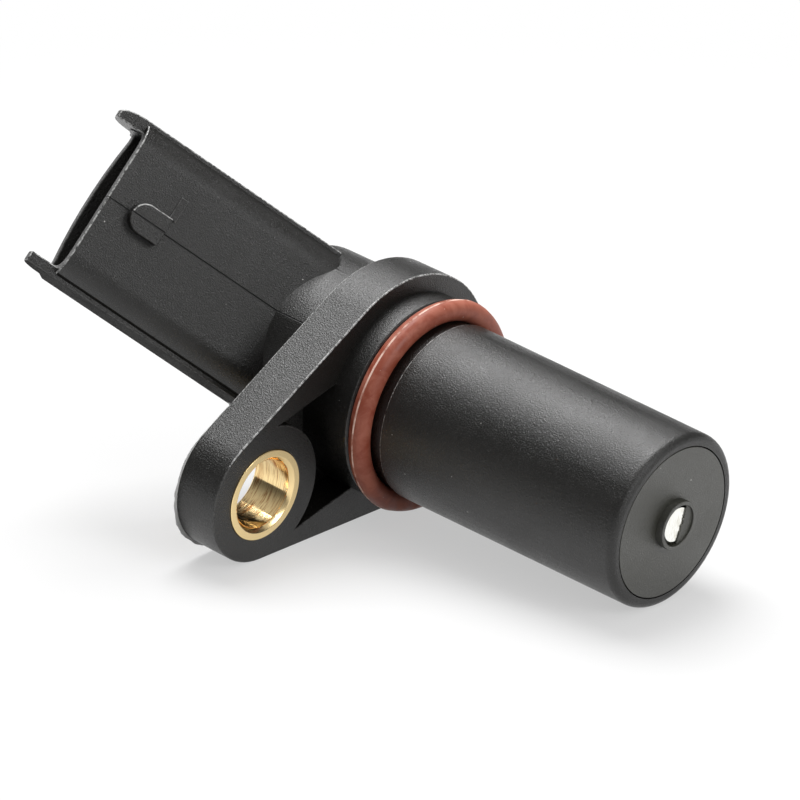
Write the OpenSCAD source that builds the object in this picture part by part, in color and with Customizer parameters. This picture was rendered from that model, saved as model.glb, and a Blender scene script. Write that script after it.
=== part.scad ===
// Crankshaft position sensor of the induction kind, with a flange for one bolt and an angled plug.
// The barrel runs along +X to its tip, and the flange's mounting face is the plane x = 0.
// The straight lower edge of the flange is level, so +Z is up as the sensor lies on a bench.
// All sizes are in millimetres and degrees.

/* [Barrel] */
// Diameter of the barrel beside the seal groove
barrel_d = 18; // [17.8:0.1:20]
// Diameter of the barrel at its tip, less by the mould's draft
tip_d = 17.45; // [16.9:0.05:17.8]
// Reach of the tip face from the mounting face
barrel_reach = 34.1; // [28:0.1:44]
// Rounding of the tip's outer edge
tip_round = 0.8; // [0.3:0.1:0.9]
// Chamfer on the edges of the collar and the seal groove
edge_break = 0.2; // [0.1:0.05:0.3]

/* [Seal] */
// Diameter of the collar behind the seal
collar_d = 20.8; // [19:0.1:22]
// Length of the collar in front of the mounting face
collar_len = 2.5; // [1.5:0.1:3]
// Diameter of the groove's floor
groove_d = 17.4; // [16.6:0.1:17.6]
// Length of the groove
groove_len = 2.8; // [2.4:0.1:3.4]
// Thickness of the seal ring's cord
seal_cord = 2.1; // [1.8:0.05:2.2]
// Play between the seal ring and the groove
seal_play = 0.03; // [0.01:0.01:0.05]

/* [Flange] */
// Thickness of the flange
flange_t = 4.9; // [4:0.1:7]
// Radius of the flange about the barrel
flange_r = 12.2; // [11.5:0.1:14]
// Radius of the ear about the bolt hole
ear_r = 6.9; // [6.4:0.1:8]
// Distance from the barrel's axis to the bolt hole
hole_pitch = 19.2; // [18.6:0.1:24]
// Diameter of the boss that stays around the bush, at the end of the pocket
boss_d = 14; // [12:0.1:15]
// Width of the cored pocket between the boss and the collar
pocket_w = 12.6; // [8:0.1:13.5]
// Depth of the pocket
pocket_depth = 3.3; // [1:0.1:3.5]

/* [Bush] */
// Outer diameter of the bush
bush_d = 9.2; // [8.6:0.1:10]
// Bore for an M6 bolt
bore_d = 7; // [6.4:0.1:7.4]
// Stand of the bush past each face of the flange
bush_proud = 0.1; // [0.05:0.05:0.3]
// Chamfer at both ends of the bore
bush_chamfer = 0.4; // [0.1:0.05:0.5]

/* [Neck] */
// Diameter of the neck behind the flange
neck_d = 20.8; // [20:0.1:22]
// Length of the neck behind the flange
neck_len = 9.7; // [9:0.1:13]
// Rounding of the neck's back edge
neck_round = 1.5; // [0.5:0.1:3]

/* [Plug] */
// Turn of the plug about the barrel, from the line through the bolt hole
plug_turn = 31.5; // [10:0.5:60]
// Lean of the plug away from the barrel's axis
plug_lean = 52.3; // [45:0.1:60]
// Distance behind the flange at which the plug's wide face leaves the neck
plug_start = 5.3; // [4.8:0.1:6.5]
// Shift of the plug to the side of the bolt hole
plug_shift = 0.3; // [0:0.05:0.6]
// Length of the wide face from the neck to the mouth
plug_len = 19.9; // [17:0.1:26]
// Run of the plug's rolled sides down the neck, past where the wide face leaves it
plug_run = 3; // [2.6:0.1:4]
// Width of the plug without its side ribs
plug_w = 16.9; // [16:0.1:18]
// Thickness of the plug
plug_t = 7.2; // [6.6:0.1:8.5]
// Width of each rolled side of the wide face
roll_w = 2.65; // [1.8:0.05:2.8]
// Drop of each rolled side
roll_drop = 1.8; // [1:0.05:2]
// Stand of the ribs past the plug's sides
rib_out = 0.4; // [0.2:0.05:0.8]
// Wall of the plug around its socket
plug_wall = 1.2; // [0.8:0.05:1.5]
// Depth of the socket
socket_depth = 13; // [10:0.1:14]
// Set-back of the far wall's ends at the mouth
far_setback = 0.25; // [0.1:0.05:1]
// Rise of the far wall's rim between its ends
far_bow = 0.4; // [0.2:0.05:0.8]
// Flat of the far wall's rim at each end of the rise
bow_flat = 0.6; // [0.3:0.1:1.5]
// Reach of the tongues past the mouth
tongue_len = 3; // [1.5:0.1:5]
// Reach past the mouth at which the tongues have their full thickness
tongue_far_len = 0.7; // [0.3:0.1:1.2]
// Thickness of the tongues at their ends
tongue_tip_t = 0.9; // [0.6:0.1:1.5]
// Full thickness of the tongues
tongue_t = 3.3; // [2:0.1:4]
// Width of the tongue that has a rounded corner
round_tongue_w = 1.4; // [1.1:0.05:1.5]
// Width of the plain tongue
plain_tongue_w = 1.05; // [0.8:0.05:1.5]
// Rounding of the outer corner of one tongue, across its width
tongue_round_w = 0.75; // [0.3:0.05:1]
// Rounding of the same corner along its length
tongue_round_l = 2.8; // [1:0.1:4]

/* [Latch] */
// Width of the latch nub
nub_w = 3; // [2:0.1:4]
// Length of the latch nub
nub_len = 3.8; // [3:0.1:6]
// Height of the latch nub
nub_h = 1.2; // [0.6:0.1:2]
// Distance from the mouth to the nub's flat rear edge
nub_rear = 6.3; // [5.8:0.1:9]
// Width of the low bar beside the nub
bar_w = 2.4; // [1:0.1:3]
// Thickness of the bar along the plug
bar_t = 0.75; // [0.4:0.05:1]
// Height of the bar
bar_h = 0.15; // [0.1:0.05:0.4]
// Lap of the bar along the nub's side
bar_lap = 0.2; // [0.1:0.05:0.35]

/* [Coil] */
// Diameter of the former's front disc, which shows at the tip
former_front_d = 15.2; // [14.6:0.1:15.4]
// Thickness of the former's discs
disc_t = 1.8; // [1:0.1:2.5]
// Diameter of the former's rear disc
former_rear_d = 14.8; // [14.4:0.1:15]
// Outer diameter of the tube that the coil is wound on
tube_d = 6; // [5:0.1:7]
// Outer diameter of the winding
winding_d = 13.9; // [13.5:0.1:14.2]
// Distance from the mounting face to the former's open rear end
former_start = 1.5; // [1:0.1:3]
// Diameter of the pole pin
pin_d = 3.5; // [2.8:0.1:4]
// Set-back of the pin's face inside the ring at the tip
pin_setback = 0.3; // [0.1:0.05:0.6]
// Gap round the pin's end, inside the ring at the tip
ring_gap = 0.3; // [0.1:0.05:0.4]
// Depth of that gap from the ring's front
ring_gap_depth = 0.7; // [0.65:0.05:1.2]
// Outer diameter of the raised ring at the tip
tip_ring_d = 4.9; // [4.8:0.1:7]
// Height of the raised ring
tip_ring_h = 0.8; // [0.4:0.1:1.2]
// Diameter of the magnet
magnet_d = 8; // [6:0.1:8.4]
// Length of the magnet
magnet_len = 6; // [4:0.1:7]
// Wall of the cup that holds the magnet
cup_wall = 1.2; // [0.8:0.1:1.4]

/* [Terminals] */
// Distance between neighbouring terminals
pitch = 5; // [4.8:0.1:5.2]
// Width of the terminals
blade_w = 1.6; // [1:0.1:1.8]
// Thickness of the terminals
blade_t = 0.8; // [0.5:0.05:0.9]
// Distance from the mouth down to the blades' ends
blade_drop = 5; // [3:0.1:6]
// Clearance between the coil terminals' legs and the magnet's cup
leg_clear = 0.2; // [0.1:0.05:0.3]
// Length of the screen terminal's root below the socket's floor
root_len = 6; // [3:0.1:8]
// Diameter of the coil's lead wires
lead_d = 0.5; // [0.3:0.05:0.6]
// Length of lead between a terminal and the former's rear disc
lead_gap = 1; // [0.5:0.1:2]

/* [Hidden] */
$fn = 96;
CUT = 1;
ARC_STEPS = 10;

groove_end = collar_len + groove_len;
seal_r = groove_d / 2 + seal_play + seal_cord / 2;
seal_x = collar_len + seal_play + seal_cord / 2;

// The ear dips until the flange's lower edge is level
ear_sine = (flange_r - ear_r) / hole_pitch;
ear_dip = asin(ear_sine);
bush_len = flange_t + 2 * bush_proud;

neck_back = -flange_t - neck_len;
// The neck meets the collar inside the flange, behind the pocket's floor
neck_front = -(flange_t + pocket_depth) / 2;
plug_x = -flange_t - plug_start;
rib_half_w = plug_w / 2 + rib_out;
flat_half_w = plug_w / 2 - roll_w;
// Radius of the rolled sides, from their width and their drop
roll_r = (roll_w * roll_w + roll_drop * roll_drop) / (2 * roll_drop);
socket_half_w = flat_half_w + roll_r - plug_wall;
socket_floor = plug_len - socket_depth;
plug_root = -plug_run;
// Half width and radius of the far wall's bowed rim
bow_half_w = socket_half_w - bow_flat;
bow_r = (bow_half_w * bow_half_w + far_bow * far_bow) / (2 * far_bow);

rear_disc_x = former_start + magnet_len;
winding_x = rear_disc_x + disc_t;
front_disc_x = barrel_reach - disc_t;
cup_d = magnet_d + 2 * cup_wall;
ring_front_x = barrel_reach + tip_ring_h;
pin_face_x = ring_front_x - pin_setback;
ring_mouth_d = pin_d + 2 * ring_gap;
ring_mouth_x = ring_front_x - ring_gap_depth;

blade_end = plug_len - blade_drop;
blade_mid = -plug_t / 2;
leg_end_x = rear_disc_x - lead_gap;
// Height of the legs at which the inner corner of the nearer one clears the cup
leg_inner = pitch - plug_shift - blade_w / 2;
leg_rise = blade_t / 2 + sqrt(max(0, pow(cup_d / 2 + leg_clear, 2) - pow(leg_inner, 2)));
// Place along the plug at which a coil terminal has come down to its leg
leg_s = (leg_rise - neck_d / 2 - blade_mid * cos(plug_lean)) / sin(plug_lean);

black = [0.10, 0.10, 0.105];
former_black = [0.13, 0.13, 0.135];
brick_red = [0.60, 0.25, 0.19];
brass = [0.83, 0.66, 0.34];
copper = [0.72, 0.38, 0.20];
iron = [0.72, 0.72, 0.70];
magnet_grey = [0.42, 0.42, 0.44];
tin = [0.78, 0.78, 0.76];

// Points of a quarter turn about a centre, from one angle to another, with a radius each way
function arc(centre, rx, ry, from, to) =
    [for (i = [0:ARC_STEPS])
        let (a = from + (to - from) * i / ARC_STEPS)
        [centre[0] + rx * cos(a), centre[1] + ry * sin(a)]];

// Turns an outline of [radius, x] about the barrel's axis
module turned(outline) {
    rotate([0, 90, 0])
        rotate_extrude()
            polygon(outline);
}

// Stands an outline of [y, z] up along +X from a start to an end
module along_x(start, end) {
    translate([start, 0, 0])
        rotate([90, 0, 90])
            linear_extrude(end - start)
                children();
}

// Places children in the ear's frame, where the bolt hole lies along -Y
module at_ear() {
    rotate([ear_dip, 0, 0]) children();
}

// Places children in the frame of the neck, where the plug leans in the XZ plane
module at_neck() {
    rotate([ear_dip + plug_turn, 0, 0]) children();
}

// Places children in the plug's frame: +Z to the mouth, +X out of the wide face
module at_plug() {
    at_neck()
        translate([plug_x, 0, neck_d / 2])
            rotate([0, plug_lean - 90, 0])
                children();
}

// Outline of the flange in the ear's frame
module flange_outline() {
    side = sqrt(1 - ear_sine * ear_sine);
    circle(flange_r);
    translate([-hole_pitch, 0]) circle(ear_r);
    polygon([
        [-ear_sine * flange_r, side * flange_r],
        [-ear_sine * ear_r - hole_pitch, side * ear_r],
        [-ear_sine * ear_r - hole_pitch, -side * ear_r],
        [-ear_sine * flange_r, -side * flange_r]]);
}

// Outline of the cored pocket in the ear's frame, which runs on under the collar
module pocket_outline() {
    difference() {
        translate([-hole_pitch, -pocket_w / 2]) square([hole_pitch, pocket_w]);
        translate([-hole_pitch, 0]) circle(d = boss_d);
    }
}

// The flange's plate with its pocket and the hole for the bush
module flange_plate() {
    at_ear()
        difference() {
            along_x(-flange_t, 0) flange_outline();
            along_x(-pocket_depth, CUT) pocket_outline();
            translate([-flange_t - CUT, -hole_pitch, 0])
                rotate([0, 90, 0])
                    cylinder(h = flange_t + 2 * CUT, d = bush_d);
        }
}

// Barrel, collar and neck turned as one body
module turned_body() {
    neck_r = neck_d / 2;
    tip_r = tip_d / 2;
    turned(concat(
        [[0, neck_back]],
        arc([neck_r - neck_round, neck_back + neck_round], neck_round, neck_round, -90, 0),
        [[neck_r, neck_front],
         [collar_d / 2, neck_front],
         [collar_d / 2, collar_len - edge_break],
         [collar_d / 2 - edge_break, collar_len],
         [groove_d / 2, collar_len],
         [groove_d / 2, groove_end],
         [barrel_d / 2 - edge_break, groove_end],
         [barrel_d / 2, groove_end + edge_break]],
        arc([tip_r - tip_round, barrel_reach - tip_round], tip_round, tip_round, 0, 90),
        [[0, barrel_reach]]));
}

// Section of the plug with rolled sides, grown inwards by a wall
module plug_section(wall, half_w) {
    side_r = roll_r - wall;
    intersection() {
        union() {
            translate([-plug_t + wall, -flat_half_w]) square([plug_t - 2 * wall, 2 * flat_half_w]);
            for (side = [-1, 1]) translate([-roll_r, side * flat_half_w]) circle(side_r);
            translate([-plug_t + wall, -flat_half_w - side_r])
                square([plug_t - wall - roll_r, 2 * (flat_half_w + side_r)]);
        }
        translate([-plug_t, -half_w]) square([plug_t, 2 * half_w]);
    }
}

// Side plate of the plug with its tongue, as an outline of [depth, length]
module tongue_outline() {
    end = plug_len + tongue_len;
    far = plug_len + tongue_far_len;
    polygon(concat(
        [[-roll_drop, plug_root], [-roll_drop, end]],
        arc([-roll_drop - tongue_tip_t, far], tongue_t - tongue_tip_t, end - far, 90, 180),
        [[-plug_t, plug_len - far_setback], [-plug_t, plug_root]]));
}

// One side plate, inwards from the rib's outer face by the tongue's width
module side_plate(side, width) {
    outer = side > 0 ? rib_half_w : width - rib_half_w;
    translate([0, outer, 0])
        rotate([90, 0, 0])
            linear_extrude(width)
                tongue_outline();
}

// What is cut from the outer corner of one tongue
module tongue_corner() {
    end = plug_len + tongue_len;
    translate([-plug_t - CUT, 0, 0])
        rotate([90, 0, 90])
            linear_extrude(plug_t + CUT)
                difference() {
                    translate([rib_half_w - tongue_round_w, end - tongue_round_l])
                        square([tongue_round_w + CUT, tongue_round_l + CUT]);
                    polygon(concat(
                        [[rib_half_w - tongue_round_w, end - tongue_round_l]],
                        arc([rib_half_w - tongue_round_w, end - tongue_round_l],
                            tongue_round_w, tongue_round_l, 0, 90)));
                }
}

// Latch nub and the low bar beside it, on the wide face
module latch() {
    rear = plug_len - nub_rear;
    round_s = rear + nub_len - nub_w / 2;
    translate([-roll_drop, plug_shift, 0]) {
        translate([0, -nub_w / 2, rear]) cube([roll_drop + nub_h, nub_w, round_s - rear]);
        translate([0, 0, round_s]) rotate([0, 90, 0]) cylinder(h = roll_drop + nub_h, d = nub_w);
        translate([0, nub_w / 2, rear + bar_lap - bar_t]) cube([roll_drop + bar_h, bar_w, bar_t]);
    }
}

// The plug's outside, in the frame of the plug
module plug_body() {
    translate([0, -plug_shift, 0]) {
        translate([0, 0, plug_root]) linear_extrude(plug_len - plug_root) plug_section(0, plug_w / 2);
        difference() {
            side_plate(1, round_tongue_w);
            tongue_corner();
        }
        side_plate(-1, plain_tongue_w);
        latch();
    }
}

// The plug's socket and the far wall's set-back, in the frame of the plug
module plug_socket() {
    translate([0, -plug_shift, 0]) {
        translate([0, 0, socket_floor])
            linear_extrude(socket_depth + CUT)
                plug_section(plug_wall, socket_half_w);
        translate([-plug_t - CUT, -socket_half_w, plug_len - far_setback])
            cube([plug_t / 2 + CUT, 2 * socket_half_w, far_setback + CUT]);
    }
}

// The far wall's rim, which rises in a shallow arc between the tongues
module far_rim() {
    translate([-plug_t, -plug_shift, plug_len - far_setback])
        rotate([90, 0, 90])
            linear_extrude(plug_wall)
                intersection() {
                    translate([-bow_half_w, -plug_wall]) square([2 * bow_half_w, plug_wall + far_bow]);
                    translate([0, far_bow - bow_r]) circle(bow_r);
                }
}

// A point of the plug as [x, z] of the neck's frame, from its height over the wide face and its length
function on_neck(height, length) =
    [plug_x + height * sin(plug_lean) - length * cos(plug_lean),
     neck_d / 2 + height * cos(plug_lean) + length * sin(plug_lean)];

// A coil terminal: a strip with its blade in the socket, bent to a leg that runs to the coil
module coil_terminal(place) {
    half_t = blade_t / 2;
    bend = on_neck(blade_mid, leg_s);
    mitre = half_t * [sin(plug_lean), 1 + cos(plug_lean)] / (1 + cos(plug_lean));
    at_neck()
        translate([0, -plug_shift + place * pitch + blade_w / 2, 0])
            rotate([90, 0, 0])
                linear_extrude(blade_w)
                    polygon([
                        [leg_end_x, leg_rise + half_t], bend + mitre,
                        on_neck(blade_mid + half_t, blade_end), on_neck(blade_mid - half_t, blade_end),
                        bend - mitre, [leg_end_x, leg_rise - half_t]]);
}

// The screen terminal: a straight blade with its root in the moulding
module screen_terminal() {
    at_plug()
        translate([blade_mid - blade_t / 2, -plug_shift - blade_w / 2, socket_floor - root_len])
            cube([blade_t, blade_w, blade_end - socket_floor + root_len]);
}

// A lead wire from a terminal's leg to the winding
module lead_solid(place) {
    at_neck()
        translate([leg_end_x, -plug_shift + place * pitch, leg_rise])
            rotate([0, 90, 0])
                cylinder(h = winding_x - leg_end_x, d = lead_d);
}

// The room that the coil, its former and the magnet take up in the moulding
module coil_room() {
    turned([
        [0, former_start], [cup_d / 2, former_start], [cup_d / 2, rear_disc_x],
        [former_rear_d / 2, rear_disc_x], [former_rear_d / 2, winding_x],
        [winding_d / 2, winding_x], [winding_d / 2, front_disc_x],
        [former_front_d / 2, front_disc_x], [former_front_d / 2, barrel_reach + CUT],
        [0, barrel_reach + CUT]]);
}

// The moulded housing: barrel, collar, flange, neck and plug in one piece
module housing() {
    color(black) {
        difference() {
            union() {
                turned_body();
                flange_plate();
                at_plug() plug_body();
            }
            at_plug() plug_socket();
            coil_room();
            for (place = [-1, 1]) {
                coil_terminal(place);
                lead_solid(place);
            }
            screen_terminal();
        }
        at_plug() far_rim();
    }
}

// The rubber seal ring in its groove, against the collar
module o_ring() {
    color(brick_red)
        translate([seal_x, 0, 0])
            rotate([0, 90, 0])
                rotate_extrude()
                    translate([seal_r, 0]) circle(d = seal_cord, $fn = 48);
}

// The brass bush that takes the bolt's pull
module bush() {
    back = -flange_t - bush_proud;
    bore_r = bore_d / 2;
    color(brass)
        at_ear()
            translate([0, -hole_pitch, 0])
                turned([
                    [bore_r, back + bush_chamfer],
                    [bore_r + bush_chamfer, back],
                    [bush_d / 2, back],
                    [bush_d / 2, back + bush_len],
                    [bore_r + bush_chamfer, back + bush_len],
                    [bore_r, back + bush_len - bush_chamfer]]);
}

// The former with its magnet cup, winding tube, two discs and the raised ring at the tip
module coil_former() {
    color(former_black)
        difference() {
            turned([
                [pin_d / 2, rear_disc_x], [magnet_d / 2, rear_disc_x],
                [magnet_d / 2, former_start], [cup_d / 2, former_start],
                [cup_d / 2, rear_disc_x], [former_rear_d / 2, rear_disc_x],
                [former_rear_d / 2, winding_x], [tube_d / 2, winding_x],
                [tube_d / 2, front_disc_x], [former_front_d / 2, front_disc_x],
                [former_front_d / 2, barrel_reach], [tip_ring_d / 2, barrel_reach],
                [tip_ring_d / 2, ring_front_x], [ring_mouth_d / 2, ring_front_x],
                [ring_mouth_d / 2, ring_mouth_x], [pin_d / 2, ring_mouth_x]]);
            for (place = [-1, 1]) lead_solid(place);
        }
}

// The winding between the former's discs
module coil_winding() {
    color(copper)
        turned([
            [tube_d / 2, winding_x], [winding_d / 2, winding_x],
            [winding_d / 2, front_disc_x], [tube_d / 2, front_disc_x]]);
}

// The soft-iron pin from the magnet to the tip
module pole_pin() {
    color(iron)
        translate([rear_disc_x, 0, 0])
            rotate([0, 90, 0])
                cylinder(h = pin_face_x - rear_disc_x, d = pin_d);
}

// The magnet behind the pin
module magnet() {
    color(magnet_grey)
        translate([former_start, 0, 0])
            rotate([0, 90, 0])
                cylinder(h = magnet_len, d = magnet_d);
}

module terminal_coil_a() { color(tin) coil_terminal(-1); }
module terminal_coil_b() { color(tin) coil_terminal(1); }
module terminal_screen() { color(tin) screen_terminal(); }
module coil_lead_a() { color(copper) lead_solid(-1); }
module coil_lead_b() { color(copper) lead_solid(1); }

housing();
o_ring();
bush();
coil_former();
coil_winding();
pole_pin();
magnet();
terminal_coil_a();
terminal_coil_b();
terminal_screen();
coil_lead_a();
coil_lead_b();
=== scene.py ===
"""Looks of a crankshaft position sensor with a sealed barrel, a one-bolt flange and an angled plug."""

import logging
import math
from collections.abc import Callable
from dataclasses import dataclass, field
from enum import Enum

import bmesh
import bpy
from mathutils import Matrix, Vector, noise


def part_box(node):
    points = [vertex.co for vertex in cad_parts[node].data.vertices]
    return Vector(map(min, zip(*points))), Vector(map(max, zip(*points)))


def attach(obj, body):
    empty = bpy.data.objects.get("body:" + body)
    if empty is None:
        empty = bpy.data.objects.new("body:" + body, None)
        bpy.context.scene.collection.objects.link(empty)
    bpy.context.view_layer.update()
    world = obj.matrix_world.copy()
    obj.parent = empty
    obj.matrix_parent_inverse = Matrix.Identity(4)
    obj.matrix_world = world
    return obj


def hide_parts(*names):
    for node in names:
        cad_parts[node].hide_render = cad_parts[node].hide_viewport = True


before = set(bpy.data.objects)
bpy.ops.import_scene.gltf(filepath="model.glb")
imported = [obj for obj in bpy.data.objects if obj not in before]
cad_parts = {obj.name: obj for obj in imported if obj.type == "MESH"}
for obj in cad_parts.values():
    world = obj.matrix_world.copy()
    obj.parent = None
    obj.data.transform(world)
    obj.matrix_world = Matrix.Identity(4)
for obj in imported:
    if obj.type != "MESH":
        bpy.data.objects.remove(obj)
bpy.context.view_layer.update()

LOG = logging.getLogger("sensor")
MM = 0.001
BODY = "root"
MERGE_DISTANCE = 0.002 * MM
FLAT_TURN = math.radians(0.2)
SMOOTH_TURN = math.radians(40)
FLAT_WEIGHT = 100
EDGE_GLINT_AND_WEAR = "edge_glint_and_wear"

Colour = tuple[float, float, float]
Inputs = dict[str | int, object]
EdgeTest = Callable[[bmesh.types.BMEdge], bool]


class Shade(Enum):
    """How a new mesh is shaded."""

    SMOOTH = "smooth"
    WEIGHTED = "weighted"


class NodeGraph:
    """Adds and links nodes in one node tree."""

    # A Mix node's colour sockets share their names with others, so they are found by number.
    MIX_FIRST = 6
    MIX_SECOND = 7
    MIX_RESULT = 2

    def __init__(self, tree: bpy.types.NodeTree) -> None:
        """Starts with an empty tree.

        Args:
            tree: the material's, group's or world's node tree.
        """
        self.tree = tree
        tree.nodes.clear()

    def add(self, kind: str, inputs: Inputs | None = None, **settings: object) -> bpy.types.Node:
        """Adds one node.

        Args:
            kind: Blender's type name of the node.
            inputs: values for its input sockets, or an output socket to link.
            settings: the node's own properties.

        Returns:
            The new node.
        """
        node = self.tree.nodes.new(kind)
        for name, value in settings.items():
            setattr(node, name, value)
        for key, value in (inputs or {}).items():
            self.feed(node.inputs[key], value)
        return node

    def feed(self, socket: bpy.types.NodeSocket, value: object) -> None:
        """Sets a socket to a value, or links another node's output to it.

        Args:
            socket: the input socket.
            value: a plain value or an output socket.
        """
        if isinstance(value, bpy.types.NodeSocket):
            self.tree.links.new(value, socket)
        else:
            socket.default_value = value

    def math(self, operation: str, first: object, second: object = 0.0) -> bpy.types.NodeSocket:
        """Adds a Math node.

        Args:
            operation: Blender's name of the operation.
            first: the first value or socket.
            second: the second value or socket.

        Returns:
            The output socket.
        """
        node = self.add("ShaderNodeMath", operation=operation)
        self.feed(node.inputs[0], first)
        self.feed(node.inputs[1], second)
        return node.outputs[0]

    def along(self, position: bpy.types.NodeSocket, direction: Vector) -> bpy.types.NodeSocket:
        """Measures how far a position lies along a direction.

        Args:
            position: the position's socket.
            direction: the direction, of length 1.

        Returns:
            The output socket.
        """
        node = self.add("ShaderNodeVectorMath", operation="DOT_PRODUCT")
        self.feed(node.inputs[0], position)
        node.inputs[1].default_value = direction
        return node.outputs["Value"]

    def ramp(self, value: object, low: float, high: float, start: float = 0.0,
             end: float = 1.0) -> bpy.types.NodeSocket:
        """Maps a value smoothly from one range to another.

        Args:
            value: the socket to read.
            low: the value that gives start.
            high: the value that gives end.
            start: the result at low.
            end: the result at high.

        Returns:
            The output socket.
        """
        node = self.add("ShaderNodeMapRange", interpolation_type="SMOOTHSTEP")
        names = ("Value", "From Min", "From Max", "To Min", "To Max")
        for name, item in zip(names, (value, low, high, start, end)):
            self.feed(node.inputs[name], item)
        return node.outputs["Result"]

    def mix(self, factor: object, first: object, second: object) -> bpy.types.NodeSocket:
        """Mixes two colours.

        Args:
            factor: the share of the second colour.
            first: the first colour or its socket.
            second: the second colour or its socket.

        Returns:
            The output socket.
        """
        node = self.add("ShaderNodeMix", data_type="RGBA")
        self.feed(node.inputs["Factor"], factor)
        self.feed(node.inputs[self.MIX_FIRST], rgba(first))
        self.feed(node.inputs[self.MIX_SECOND], rgba(second))
        return node.outputs[self.MIX_RESULT]

    def group(self, tree: bpy.types.NodeTree, inputs: Inputs) -> bpy.types.Node:
        """Places a node group with its own values.

        Args:
            tree: the group.
            inputs: values or sockets for its inputs.

        Returns:
            The group's node.
        """
        node = self.add("ShaderNodeGroup", node_tree=tree)
        for key, value in inputs.items():
            self.feed(node.inputs[key], value)
        return node


def rgba(value: object) -> object:
    """Gives a colour of three values its fourth, and leaves anything else as it is.

    Args:
        value: a colour or a socket.

    Returns:
        The colour with four values, or the value itself.
    """
    if isinstance(value, tuple) and len(value) == 3:
        return (*value, 1.0)
    return value


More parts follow.
